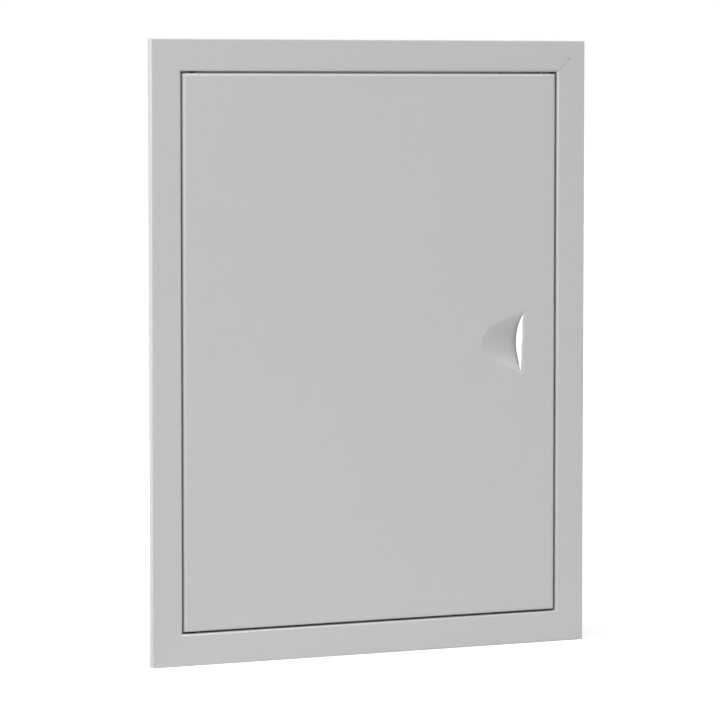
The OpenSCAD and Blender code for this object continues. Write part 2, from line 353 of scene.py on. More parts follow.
@dataclass(frozen=True)
class Moulding(Finish):
    """Moulded plastic with a fine spark-eroded grain."""

    colour: Colour
    rough: float
    grain: float = 8.0e-6

    def paint(self, graph: Graph) -> dict[str, Any]:
        """Lay the finish on in a material's graph.

        Args:
            graph: The graph.

        Returns:
            The Principled shader's inputs.
        """
        grain = graph.noise(2400.0)
        flow = graph.noise(60.0)
        return {
            "Base Color": graph.blend(flow, scaled(self.colour, 0.9), scaled(self.colour, 1.1)),
            "Roughness": self.rough + (grain - 0.5) * 0.14,
            "Normal": graph.bump(grain, self.grain),
        }


@dataclass(frozen=True)
class Ferrite(Finish):
    """Sintered magnet: dark, dry and slightly pitted."""

    colour: Colour = grey(0.035, 0.035, 0.038)
    rough: float = 0.55
    pits: float = 2.0e-5

    def paint(self, graph: Graph) -> dict[str, Any]:
        """Lay the finish on in a material's graph.

        Args:
            graph: The graph.

        Returns:
            The Principled shader's inputs.
        """
        pits = graph.noise(1900.0, 4.0)
        dust = graph.noise(300.0, 3.0)
        return {
            "Base Color": graph.blend(dust, self.colour, scaled(self.colour, 2.0)),
            "Metallic": 0.3,
            "Roughness": self.rough + pits * 0.2,
            "Normal": graph.bump(pits, self.pits),
        }


@dataclass(frozen=True)
class Palette:
    """The coats of the panel, one material each."""

    frame_coat: Coat
    door_coat: Coat
    zinc: Coat
    bright: Coat
    blackened: Coat
    nylon: Coat
    catch: Coat
    ferrite: Coat

    @classmethod
    def mix(cls) -> Palette:
        """Build every finish once."""
        return cls(
            frame_coat=PowderCoat("frame_powder_coat", Slot.FRAME_COAT).build(),
            door_coat=PowderCoat("door_powder_coat", Slot.DOOR_COAT).build(),
            zinc=ZincSheet("zinc_sheet", Slot.ZINC).build(),
            bright=PlatedSteel("bright_steel", Slot.BRIGHT).build(),
            blackened=PlatedSteel("blackened_steel", Slot.BRIGHT, grey(0.07, 0.07, 0.072), 0.42).build(),
            nylon=Moulding("natural_nylon", Slot.BUSH, grey(0.76, 0.74, 0.67), 0.42).build(),
            catch=Moulding("catch_moulding", Slot.CATCH, grey(0.085, 0.087, 0.09), 0.5).build(),
            ferrite=Ferrite("ferrite", Slot.MAGNET).build(),
        )


@dataclass(frozen=True)
class Sizes:
    """Sizes shared by the sub-assemblies, in metres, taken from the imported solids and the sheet's gauges."""

    face_y: float
    half_w: float
    half_h: float
    outer_w: float
    outer_h: float
    door_half_w: float
    door_half_h: float
    door_depth: float
    frame_depth: float
    sheet: float = 0.8 * MM
    lip_depth: float = 6.0 * MM
    flange: float = 12.0 * MM
    frame_fold: float = 1.8 * MM
    lip_fold: float = 1.1 * MM
    door_fold: float = 2.5 * MM

    @classmethod
    def from_frame(cls) -> Sizes:
        """Read the sizes that the solids fix.

        Returns:
            All the sizes.
        """
        door_low, door_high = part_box("door_panel")
        right_low, right_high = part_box("frame_right_rail")
        top_low, top_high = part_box("frame_top_rail")
        return cls(
            face_y=door_low.y,
            half_w=right_low.x + cls.flange,
            half_h=top_low.z + cls.flange,
            outer_w=right_high.x,
            outer_h=top_high.z,
            door_half_w=door_high.x,
            door_half_h=door_high.z,
            door_depth=door_high.y - door_low.y,
            frame_depth=right_high.y - door_low.y,
        )


def middle(node: str) -> Vector:
    """Middle of a CAD node's box."""
    low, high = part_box(node)
    return (low + high) / 2


def outer_end(node: str, level: Level) -> Vector:
    """Middle of that end of a CAD node's box that faces away from the panel's middle."""
    centre, (low, high) = middle(node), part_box(node)
    return Vector((centre.x, centre.y, high.z if level is Level.UPPER else low.z))


def axes(origin: Sequence[float], first: Vector, second: Vector) -> Matrix:
    """A placement at an origin that turns X and Y to two directions at right angles."""
    turn = Matrix((first, second, first.cross(second))).transposed()
    return Matrix.Translation(Vector(origin)) @ turn.to_4x4()


def fade(share: float) -> float:
    """1 at 0, falling evenly to 0 at 1 and beyond."""
    return max(0.0, 1 - share)


def clamp(value: float) -> float:
    """A value, kept from 0 to 1."""
    return min(1.0, max(0.0, value))


class Bench:
    """Mesh work that the sub-assemblies share."""

    @staticmethod
    def clean(bm: Mesh) -> None:
        """Merge doubles and turn every face outward."""
        bmesh.ops.remove_doubles(bm, verts=bm.verts, dist=TINY)
        bmesh.ops.recalc_face_normals(bm, faces=bm.faces)

    @staticmethod
    def shift(bm: Mesh, items: Iterable[Any], way: Sequence[float]) -> None:
        """Move the vertices among some items of a mesh."""
        verts = [item for item in items if isinstance(item, bmesh.types.BMVert)]
        bmesh.ops.translate(bm, verts=verts, vec=way)

    @staticmethod
    def move(bm: Mesh, place: Matrix) -> Mesh:
        """Put a whole closed mesh in its place.

        Args:
            bm: The mesh.
            place: Its place, which may be a mirrored one.

        Returns:
            The mesh.
        """
        bmesh.ops.transform(bm, matrix=place, verts=bm.verts)
        if place.determinant() < 0:
            bmesh.ops.recalc_face_normals(bm, faces=bm.faces)
        return bm

    @staticmethod
    def ease(bm: Mesh, geom: list[Any], width: float, segments: int = 2, affect: str = "EDGES") -> None:
        """Round edges or corners to a radius, with so many facets across it."""
        common = {"offset_type": "OFFSET", "profile": 0.5, "material": -1, "clamp_overlap": affect == "EDGES"}
        bmesh.ops.bevel(bm, geom=geom, offset=width, segments=segments, affect=affect, **common)

    @staticmethod
    def to_mesh(bm: Mesh, name: str) -> bpy.types.Mesh:
        """Turn a bmesh into a named mesh and free it.

        Args:
            bm: The finished bmesh.
            name: Name of the mesh.

        Returns:
            The mesh.
        """
        mesh = bpy.data.meshes.new(name)
        bm.to_mesh(mesh)
        bm.free()
        return mesh

    @classmethod
    def to_object(cls, bm: Mesh, name: str) -> Object:
        """Turn a bmesh into a linked object and free it.

        Args:
            bm: The finished bmesh.
            name: Name of the object and its mesh.

        Returns:
            The new object.
        """
        made = bpy.data.objects.new(name, cls.to_mesh(bm, name))
        bpy.context.scene.collection.objects.link(made)
        return made

    @classmethod
    def cut(cls, piece: Object, cutters: Iterable[Mesh]) -> None:
        """Cut a piece by other closed meshes.

        Args:
            piece: The object to cut.
            cutters: What is taken away from it; each is freed.
        """
        for cutter in cutters:
            tool = cls.to_object(cutter, "cutter")
            step = piece.modifiers.new("cut", "BOOLEAN")
            step.operation = "DIFFERENCE"
            step.solver = "EXACT"
            step.object = tool
            seen = bpy.context.evaluated_depsgraph_get()
            mesh = bpy.data.meshes.new_from_object(piece.evaluated_get(seen))
            piece.modifiers.clear()
            mesh.name = piece.name
            piece.data = mesh
            bpy.data.objects.remove(tool)

    @staticmethod
    def dress(
        piece: Object, coat: Coat, body: Body, node: str, edge: float = 0.12 * MM, segments: int = 2
    ) -> None:
        """Round a piece's sharp edges, shade it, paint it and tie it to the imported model.

        Args:
            piece: The piece.
            coat: Its material, and the record's slot for it.
            body: The body that it rides on.
            node: The CAD node that it stands for.
            edge: Width of the rounding on sharp edges, 0 for none.
            segments: Segments of that rounding.
        """
        piece.data.materials.clear()
        piece.data.materials.append(coat.material)
        piece.data.shade_smooth()
        if edge > 0:
            rounding = piece.modifiers.new("edge_rounding", "BEVEL")
            rounding.width = edge
            rounding.segments = segments
            rounding.limit_method = "ANGLE"
            rounding.angle_limit = math.radians(40)
        shading = piece.modifiers.new("face_weighted_normals", "WEIGHTED_NORMAL")
        shading.mode = "FACE_AREA"
        shading.weight = 100
        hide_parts(node)
        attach(piece, body.value)
        log.info("%s rides on the %s in place of %s", piece.name, body.value, node)

    @classmethod
    def folded_strip(
        cls,
        line: Sequence[Point2],
        folds: Sequence[float],
        length: float,
        thickness: float,
        corner: float = 0,
    ) -> Mesh:
        """Fold a strip of sheet: one skin's section, extruded along Z, folded round and given its thickness.

        Args:
            line: Points of the skin's section, with the sheet's thickness on the right of its way.
            folds: Radius of the skin at each inner point of the line.
            length: Length of the strip, centred on Z = 0.
            thickness: Thickness of the sheet.
            corner: Radius of the strip's four corners.

        Returns:
            The closed mesh; a strip with square corners has its long sheet edges eased.
        """
        bm = bmesh.new()
        corners = [bm.verts.new((x, y, -length / 2)) for x, y in line]
        edges = [bm.edges.new(pair) for pair in zip(corners, corners[1:])]
        cls.shift(bm, bmesh.ops.extrude_edge_only(bm, edges=edges)["geom"], (0, 0, length))
        for spot, radius in zip(line[1:-1], folds):
            cls.ease(bm, cls.along_z(bm, spot), radius, 6)
        bmesh.ops.solidify(bm, geom=bm.faces[:], thickness=thickness)
        cls.clean(bm)
        if corner > 0:
            end = length / 2 - TINY
            ends = [edge for edge in bm.edges if all(abs(vert.co.z) > end for vert in edge.verts)]
            across = [edge for edge in ends if abs(edge.calc_length() - thickness) < 10 * TINY]
            cls.ease(bm, [edge for edge in across if edge.calc_face_angle(0.0) > SHARP], corner, 5)
        else:
            sharp = [edge for edge in cls.along_z(bm) if edge.calc_face_angle(0.0) > SHARP]
            cls.ease(bm, sharp, thickness * 0.12)
        return bm

    @staticmethod
    def along_z(bm: Mesh, spot: Point2 | None = None) -> list[Edge]:
        """Edges that run along Z.

        Args:
            bm: The mesh.
            spot: The place in X and Y to find them at, or none for all of them.

        Returns:
            The edges.
        """
        found = []
        for edge in bm.edges:
            start, end = (vert.co.xy for vert in edge.verts)
            if (start - end).length <= TINY and (spot is None or (start - Vector(spot)).length < TINY):
                found.append(edge)
        return found

    @staticmethod
    def score(bm: Mesh, point: Vector, normal: Vector, drop: bool = False) -> list[Edge]:
        """Divide a mesh along a plane.

        Args:
            bm: The mesh.
            point: A point of the plane.
            normal: Its normal.
            drop: Whether what the normal points to goes.

        Returns:
            The edges in the plane.
        """
        whole = bm.verts[:] + bm.edges[:] + bm.faces[:]
        plane = {"dist": TINY, "plane_co": point, "plane_no": normal, "clear_outer": drop}
        cut = bmesh.ops.bisect_plane(bm, geom=whole, **plane)["geom_cut"]
        return [item for item in cut if isinstance(item, Edge)]

    @classmethod
    def turned(cls, profile: Sequence[Point2], closed: bool = False, steps: int = FINE) -> Mesh:
        """Turn a profile round Z, as on a lathe.

        Args:
            profile: Points as radius and height; an open profile starts and ends on the axis.
            closed: Whether the profile is a ring section, joined end to start.
            steps: Facets of the full turn.

        Returns:
            The closed mesh.
        """
        bm = bmesh.new()
        points = [bm.verts.new((radius, 0, height)) for radius, height in profile]
        pairs = list(zip(points, points[1:])) + ([(points[-1], points[0])] if closed else [])
        geom = points + [bm.edges.new(pair) for pair in pairs]
        turn = {"cent": (0, 0, 0), "axis": (0, 0, 1), "angle": math.tau, "steps": steps}
        bmesh.ops.spin(bm, geom=geom, use_merge=True, use_duplicate=False, **turn)
        cls.clean(bm)
        return bm

    @staticmethod
    def made(operator: Callable[..., Any], place: Matrix, **settings: Any) -> Mesh:
        """Make a simple shape.

        Args:
            operator: The mesh operator that makes it.
            place: Its place.
            settings: The operator's settings.

        Returns:
            The mesh.
        """
        bm = bmesh.new()
        operator(bm, matrix=place, **settings)
        return bm

    @classmethod
    def bar(cls, radius: float, length: float, place: Matrix) -> Mesh:
        """A round bar centred on its place, along its Z: the tool for a drilled hole."""
        size = {"radius1": radius, "radius2": radius, "depth": length, "segments": FINE}
        return cls.made(bmesh.ops.create_cone, place, cap_ends=True, **size)

    @classmethod
    def block(cls, low: Vector, high: Vector) -> Mesh:
        """A rectangular block between its lowest and its highest corner."""
        place = Matrix.Translation((low + high) / 2) @ Matrix.Diagonal((*(high - low), 1.0))
        return cls.made(bmesh.ops.create_cube, place, size=1.0)

    @classmethod
    def sheet(cls, place: Matrix, half: float = 1.0) -> Mesh:
        """A flat square of one face, by its place and half its side."""
        return cls.made(bmesh.ops.create_grid, place, x_segments=1, y_segments=1, size=half)

    @classmethod
    def blank(cls, outline: Sequence[Point2], thickness: float, corners: dict[int, float]) -> Mesh:
        """A flat plate from Z = 0 upward.

        Args:
            outline: Its outline, in X and Y.
            thickness: Its thickness.
            corners: Radius of the rounded corners, by their place in the outline.

        Returns:
            The closed mesh.
        """
        bm = bmesh.new()
        points = [bm.verts.new((x, y, 0)) for x, y in outline]
        bm.faces.new(points)
        for index, radius in corners.items():
            cls.ease(bm, [points[index]], radius, 6, "VERTICES")
        swept = bmesh.ops.extrude_face_region(bm, geom=bm.faces[:], use_keep_orig=True)["geom"]
        cls.shift(bm, swept, (0, 0, thickness))
        cls.clean(bm)
        return bm

    @classmethod
    def fill(cls, piece: Object, meshes: Iterable[bpy.types.Mesh]) -> None:
        """Make a piece's mesh of others; each is removed.

        Args:
            piece: The piece.
            meshes: What becomes its mesh.
        """
        whole = bmesh.new()
        for mesh in meshes:
            whole.from_mesh(mesh)
            bpy.data.meshes.remove(mesh)
        whole.to_mesh(piece.data)
        whole.free()

    @classmethod
    def weld(cls, piece: Object, places: Iterable[Matrix], radius: float = 2.0 * MM) -> None:
        """Add the rings that a welding tip leaves, each standing along its place's Z.

        Args:
            piece: The piece.
            places: The middles of the rings.
            radius: Their radius.
        """
        sunk, rim = 0.1 * MM, 0.14 * MM
        crest, foot = radius * 0.86, radius * 0.62
        profile = [(0, -sunk), (radius, -sunk), (radius, 0), (crest, rim), (foot, rim * 0.4), (0, 0)]
        rings = [cls.to_mesh(cls.move(cls.turned(profile, steps=COARSE), place), "ring") for place in places]
        cls.fill(piece, [piece.data.copy(), *rings])

    @classmethod
    def repeat(cls, piece: Object, places: Iterable[Matrix]) -> None:
        """Turn a piece that is modelled at the origin into copies of itself.

        Args:
            piece: The piece.
            places: Where the copies go.
        """
        copies = []
        for place in places:
            copies.append(piece.data.copy())
            copies[-1].transform(place)
        cls.fill(piece, copies)


@dataclass
class Assembly:
    """Common ground of the sub-assemblies."""

    sizes: Sizes
    palette: Palette

    def build(self) -> None:
        """Make, place and dress the pieces."""
        raise NotImplementedError


@dataclass(frozen=True)
class Seam:
    """A mitre: its width where it is welded shut, and its width and length where it gapes at the opening."""

    shut: float = 0.01 * MM
    gape: float = 0.0
    reach: float = 10.5 * MM


@dataclass
class FrameRails(Assembly):
    """The four mitred rails: lip, face, return and stop flange folded from one strip each."""

    closed: Seam = Seam()
    parted: Seam = Seam(gape=0.45 * MM)
    pinhole_r: float = 0.46 * MM
    pinhole_out: float = 9.9 * MM
    pinhole_drill: float = 1.8 * MM
    pin_r: float = 1.5 * MM
    fixing_r: float = 2.6 * MM
    fixing_back: float = 19.0 * MM
    fixing_end_z: float = 85.0 * MM
    fixing_end_x: float = 60.0 * MM
    drill: float = 6.0 * MM

    def strip(self, half_across: float, half_along: float, seams: tuple[Seam, Seam]) -> Mesh:
        """One rail along Z, outside the +X side of the opening, mitred at both ends.

        Args:
            half_across: Half the opening across the rail.
            half_along: Half the opening along the rail.
            seams: Seams at the lower and at the upper end.

        Returns:
            The closed mesh.
        """
        s = self.sizes
        border = s.outer_w - s.half_w
        rear = s.frame_depth - s.sheet
        line = [(border, s.lip_depth), (border, 0.0), (0.0, 0.0), (0.0, rear), (-s.flange, rear)]
        folds = [s.lip_fold, s.frame_fold, s.frame_fold - s.sheet]
        bm = Bench.folded_strip(line, folds, 2 * (half_along + border), s.sheet)
        bmesh.ops.translate(bm, verts=bm.verts, vec=(half_across, s.face_y, 0))
        for sign, seam in zip((-1, 1), seams):
            for width, reach in ((seam.shut, border), (seam.gape, seam.reach)):
                if width:
                    inner = Vector((half_across, 0, sign * (half_along - width / 2)))
                    run = Vector((half_across + reach, 0, sign * (half_along + reach))) - inner
                    rim = Bench.score(bm, inner, Vector((-run.z, 0, run.x)) * sign, drop=True)
                    bmesh.ops.edgeloop_fill(bm, edges=rim)
        Bench.clean(bm)
        return bm

    def drills(self, side: Side) -> list[Mesh]:
        """Drills for the holes of one rail.

        Args:
            side: The rail's side.

        Returns:
            The drills: two fixing holes, the pivot pin's hole, and the weld's pinhole at the parted mitre.
        """
        s = self.sizes
        y = s.face_y + self.fixing_back
        sign = 1 if side in (Side.TOP, Side.RIGHT) else -1
        level = side in (Side.TOP, Side.BOTTOM)
        made = []
        for end in (-1, 1):
            if level:
                place = axes((end * (s.half_w - self.fixing_end_x), y, sign * s.half_h), X, Y)
            else:
                place = axes((sign * s.half_w, y, end * (s.half_h - self.fixing_end_z)), Y, Z)
            made.append(Bench.bar(self.fixing_r, self.drill, place))
        if level:
            pin = middle("upper_pivot_pin")
            place = Matrix.Translation((pin.x, pin.y, sign * s.half_h))
            made.append(Bench.bar(self.pin_r, self.drill, place))
        if sign > 0:
            spot = (s.half_w + self.pinhole_out, s.face_y, s.half_h + self.pinhole_out)
            made.append(Bench.bar(self.pinhole_r, self.pinhole_drill, axes(spot, Z, X)))
        return made

    def build(self) -> None:
        """Make, place and dress the four rails."""
        s = self.sizes
        turn_up = Matrix.Rotation(math.radians(-90), 4, "Y")
        flip_x, flip_z = Matrix.Diagonal((-1, 1, 1, 1)), Matrix.Diagonal((1, 1, -1, 1))
        plans = {
            Side.RIGHT: (s.half_w, s.half_h, (self.closed, self.parted), Matrix.Identity(4)),
            Side.LEFT: (s.half_w, s.half_h, (self.closed, self.closed), flip_x),
            Side.TOP: (s.half_h, s.half_w, (self.parted, self.closed), turn_up),
            Side.BOTTOM: (s.half_h, s.half_w, (self.closed, self.closed), flip_z @ turn_up),
        }
        for side, (across, along, seams, place) in plans.items():
            bm = Bench.move(self.strip(across, along, seams), place)
            piece = Bench.to_object(bm, f"{side.value}_rail_sheet")
            Bench.cut(piece, self.drills(side))
            Bench.dress(piece, self.palette.frame_coat, Body.FRAME, f"frame_{side.value}_rail", edge=0)


@dataclass
class CornerPlates(Assembly):
    """The L-shaped plates welded flat behind the frame's mitres."""

    width: float = 17.0 * MM
    corner: float = 3.0 * MM
    weld_r: float = 2.6 * MM
    weld_steps: tuple[float, float] = (0.42, 0.84)

    def build(self) -> None:
        """Make and dress the four plates."""
        for level, tall in (("top", 1), ("bottom", -1)):
            for side, wide in (("left", -1), ("right", 1)):
                self.plate(f"corner_plate_{level}_{side}", wide, tall)

    def plate(self, node: str, wide: int, tall: int) -> None:
        """Make one plate.

        Args:
            node: The CAD node that it replaces.
            wide: 1 on the right and -1 on the left.
            tall: 1 at the top and -1 at the bottom.
        """
        low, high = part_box(node)
        length, thickness = high.x - low.x, high.y - low.y
        w = self.width
        outline = [(0, 0), (0, -length), (-w, -length), (-w, -w), (-length, -w), (-length, 0)]
        corners = {1: self.corner, 2: self.corner, 4: self.corner, 5: self.corner, 0: self.corner / 2}
        corner = (high.x if wide > 0 else low.x, low.y, high.z if tall > 0 else low.z)
        place = Matrix.Translation(corner) @ Matrix((X * wide, Z * tall, Y)).transposed().to_4x4()
        plate = Bench.move(Bench.blank(outline, thickness, corners), place)
        piece = Bench.to_object(plate, node.replace("corner_plate", "welded_plate"))
        steps = [-length * share for share in self.weld_steps]
        spots = [spot for along in steps for spot in ((-w / 2, along), (along, -w / 2))]
        Bench.weld(piece, [place @ Matrix.Translation((*spot, thickness)) for spot in spots], self.weld_r)
        Bench.dress(piece, self.palette.frame_coat, Body.FRAME, node)


@dataclass
class Door(Assembly):
    """The door: one sheet with four folded returns and the pressed scoop of the finger pull."""

    slit_inset: float = 26.5 * MM
    slit_h: float = 42.0 * MM
    pull_z: float = 1.0 * MM
    scoop_depth: float = 6.3 * MM
    scoop_len: float = 34.5 * MM
    scoop_half: float = 21.3 * MM
    scoop_power: float = 2.1
    spread: float = 0.4
    upper_rim: float = 0.35 * MM
    lower_rim: float = 2.0 * MM
    curl: float = 1.7 * MM
    curl_len: float = 3.4 * MM
    curl_from: float = 2.0 * MM
    drawn: float = 2.0 * MM
    drawn_len: float = 9.0 * MM
    upper_draw: float = 18.3 * MM
    lower_draw: float = 22.5 * MM
    roll: float = 0.5 * MM
    roll_len: float = 1.2 * MM
    roll_fade: float = 2.0 * MM
    roll_lines: tuple[float, ...] = (0.2, 0.4, 0.65, 1.0, 1.5, 2.1, 2.7)
    upper_lean: float = 0.6 * MM
    lower_lean: float = 1.25 * MM
    lean_turn: float = 4.0 * MM
    lean_fade: float = 3.0 * MM
    lean_start: float = 0.4
    bend: float = 1.9 * MM
    bend_r: float = 8.0 * MM
    bend_start: float = 0.6
    pinch_r: float = 3.0 * MM
    relief_r: float = 0.6 * MM
    relief_drill: float = 8.0 * MM
    dimple: float = 0.4 * MM
    dimple_r: float = 3.5 * MM
    margin: float = 5.0 * MM
    step: float = 0.7 * MM
    corner: float = 0.9 * MM
    bush_r: float = 2.6 * MM
    bush_drill: float = 4.0 * MM

    @property
    def slit_x(self) -> float:
        """Place of the slit across the door."""
        return self.sizes.door_half_w - self.slit_inset

    def scoop_at(self, x: float, z: float) -> float:
        """Depth of the scoop left of the slit: a flat arch that widens and sinks along a slanting line.

        Args:
            x: Place across the door.
            z: Height above the pull's middle.

        Returns:
            The depth, 0 outside the scoop; the rim is rounded and the edge at the slit curls back.
        """
        along = 1 - (self.slit_x - x) / self.scoop_len
        if along <= 0:
            return 0.0
        half = self.scoop_half * along**self.spread
        rim = along * (self.upper_rim if z > 0 else self.lower_rim)
        depth = self.scoop_depth * along * (1 - (abs(z) / half) ** self.scoop_power)
        if depth <= -rim:
            return 0.0
        if depth < rim:
            depth = (depth + rim) ** 2 / (4 * rim)
        near = fade((self.slit_x - x) / self.curl_len)
        return depth + self.curl * near**2 * clamp(depth / self.curl_from)

    def aside_at(self, x: float, z: float, right: bool) -> float:
        """How far the press moves the sheet beside the slit to the left.

        Args:
            x: Place across the door.
            z: Height above the pull's middle.
            right: Whether the point belongs to the slit's right side.

        Returns:
            The way to the left: the slit's lower end bends over, its left edge is drawn back in the middle,
            and its right edge leans out, more below the middle than above it.
        """
        end = self.slit_h / 2
        low = clamp((-z - self.bend_start * end) / ((1 - self.bend_start) * end))
        way = self.bend * low**2 * fade(abs(x - self.slit_x) / self.bend_r) ** 2
        if right:
            below = clamp(0.5 - z / self.lean_turn)
            below = below**2 * (3 - 2 * below)
            lean = self.upper_lean + (self.lower_lean - self.upper_lean) * below
            inside = clamp((end - abs(z)) / self.lean_fade - self.lean_start)
            return way + lean * fade((x - self.slit_x) / self.roll_len) * inside
        near = fade((self.slit_x - x) / self.drawn_len)
        half = self.upper_draw if z > 0 else self.lower_draw
        return way + self.drawn * near**2 * fade((z / half) ** 2)

    def depth_at(self, x: float, z: float, right: bool) -> float:
        """Depth of the pressed sheet behind the door's face.

        Args:
            x: Place across the door.
            z: Height above the pull's middle.
            right: Whether the point belongs to the slit's right side.

        Returns:
            The depth: scoop or rolled edge, with the dimples that the press leaves at the slit's ends.
        """
        half = self.slit_h / 2
        if right:
            short = max(0.0, half - abs(z))
            pinch = fade(math.hypot(x - self.slit_x, short) / self.pinch_r)
            end = math.copysign(max(abs(z), half), z)
            depth = self.roll * fade((x - self.slit_x) / self.roll_len) ** 2 * clamp(short / self.roll_fade)
            depth = max(depth, self.scoop_at(self.slit_x, end) * pinch**2)
        else:
            depth = self.scoop_at(x, z)
        reach = math.hypot(x - self.slit_x, abs(z) - half) / self.dimple_r
        return math.hypot(depth, self.dimple * fade(reach**2) ** 2)

    def lines(self) -> tuple[list[float], list[float]]:
        """Place the grid lines, close together round the scoop.

        Returns:
            The lines across the door, and those up it.
        """
        left = self.slit_x - self.scoop_len - self.margin
        count_x = round((self.slit_x - left) / self.step)
        across = [left + (self.slit_x - left) * i / count_x for i in range(count_x + 1)]
        across += [self.slit_x - self.step / 2]
        across += [self.slit_x + self.roll_len * share for share in self.roll_lines]
        half = self.slit_h / 2
        count_z = round(2 * half / self.step)
        up = [-half + 2 * half * i / count_z for i in range(count_z + 1)]
        over = [half + self.step * (i + 1) for i in range(math.ceil(self.margin / self.step))]
        return across, [self.pull_z + z for z in up + over + [-z for z in over]]

    def skin(self) -> Mesh:
        """Fold and press the door's outer skin.

        Returns:
            The open mesh of the skin, scoop and folds included.
        """
        s = self.sizes
        lay_up = Matrix.Translation((0, s.face_y, 0)) @ Matrix.Rotation(math.radians(90), 4, "X")
        size = Matrix.Diagonal((s.door_half_w, s.door_half_h, 1, 1))
        bm = Bench.sheet(lay_up @ size)
        across, up = self.lines()
        for point, normal in [(X * x, X) for x in across] + [(Z * z, Z) for z in up]:
            Bench.score(bm, point, normal)
        outline = [edge for edge in bm.edges if edge.is_boundary]
        Bench.shift(bm, bmesh.ops.extrude_edge_only(bm, edges=outline)["geom"], (0, s.door_depth, 0))
        Bench.ease(bm, [edge for edge in bm.edges if self.on_outline(edge)], s.door_fold, 8)
        Bench.ease(bm, [edge for edge in bm.edges if self.on_corner(edge)], self.corner, 3)
        self.press(bm)
        return bm

    def on_outline(self, edge: Edge) -> bool:
        """Test whether an edge lies on the outline of the door's face.

        Args:
            edge: The edge.

        Returns:
            Whether a return is folded there.
        """
        s = self.sizes
        if any(abs(vert.co.y - s.face_y) > TINY for vert in edge.verts):
            return False
        side = all(abs(abs(vert.co.x) - s.door_half_w) < TINY for vert in edge.verts)
        return side or all(abs(abs(vert.co.z) - s.door_half_h) < TINY for vert in edge.verts)

    def on_corner(self, edge: Edge) -> bool:
        """Test whether an edge belongs to a corner.

        Args:
            edge: The edge.

        Returns:
            Whether two returns meet there.
        """
        s = self.sizes
        inner_w, inner_h = s.door_half_w - s.door_fold, s.door_half_h - s.door_fold
        in_corner = all(abs(vert.co.x) > inner_w and abs(vert.co.z) > inner_h for vert in edge.verts)
        return in_corner and edge.calc_face_angle(0.0) > BENT

    def press(self, bm: Mesh) -> None:
        """Part the sheet along the slit and press the scoop on its left side.

        Args:
            bm: The mesh of the skin.
        """
        half = self.slit_h / 2 + TINY
        slit = []
        for edge in bm.edges:
            if all(abs(v.co.x - self.slit_x) < TINY and abs(v.co.z - self.pull_z) < half for v in edge.verts):
                slit.append(edge)
        bmesh.ops.split_edges(bm, edges=slit)
        pressed = []
        for vert in bm.verts:
            x, z = vert.co.x, vert.co.z - self.pull_z
            flat = abs(vert.co.y - self.sizes.face_y) < TINY
            beside = self.scoop_len + self.margin > self.slit_x - x > -self.bend_r
            if flat and beside and abs(z) < half + self.margin:
                right = all(face.calc_center_median().x > self.slit_x for face in vert.link_faces)
                pressed.append((vert, self.aside_at(x, z, right), self.depth_at(x, z, right)))
        for vert, aside, depth in pressed:
            vert.co += Vector((-aside, depth, 0))

    def build(self) -> None:
        """Make and dress the door."""
        s = self.sizes
        bm = self.skin()
        bmesh.ops.recalc_face_normals(bm, faces=bm.faces)
        if sum(face.normal.y * face.calc_area() for face in bm.faces) > 0:
            bmesh.ops.reverse_faces(bm, faces=bm.faces)
        piece = Bench.to_object(bm, "door_sheet")
        wall = piece.modifiers.new("sheet", "SOLIDIFY")
        wall.thickness = s.sheet
        wall.offset = -1.0
        wall.use_even_offset = True
        pin = middle("upper_pivot_pin")
        holes = [Matrix.Translation((pin.x, pin.y, up * s.door_half_h)) for up in (-1, 1)]
        cutters = [Bench.bar(self.bush_r, self.bush_drill, place) for place in holes]
        end = (self.slit_x - self.bend, s.face_y, self.pull_z - self.slit_h / 2)
        cutters.append(Bench.bar(self.relief_r, self.relief_drill, axes(end, Z, X)))
        Bench.cut(piece, cutters)
        Bench.dress(piece, self.palette.door_coat, Body.DOOR, "door_panel", edge=0.1 * MM)


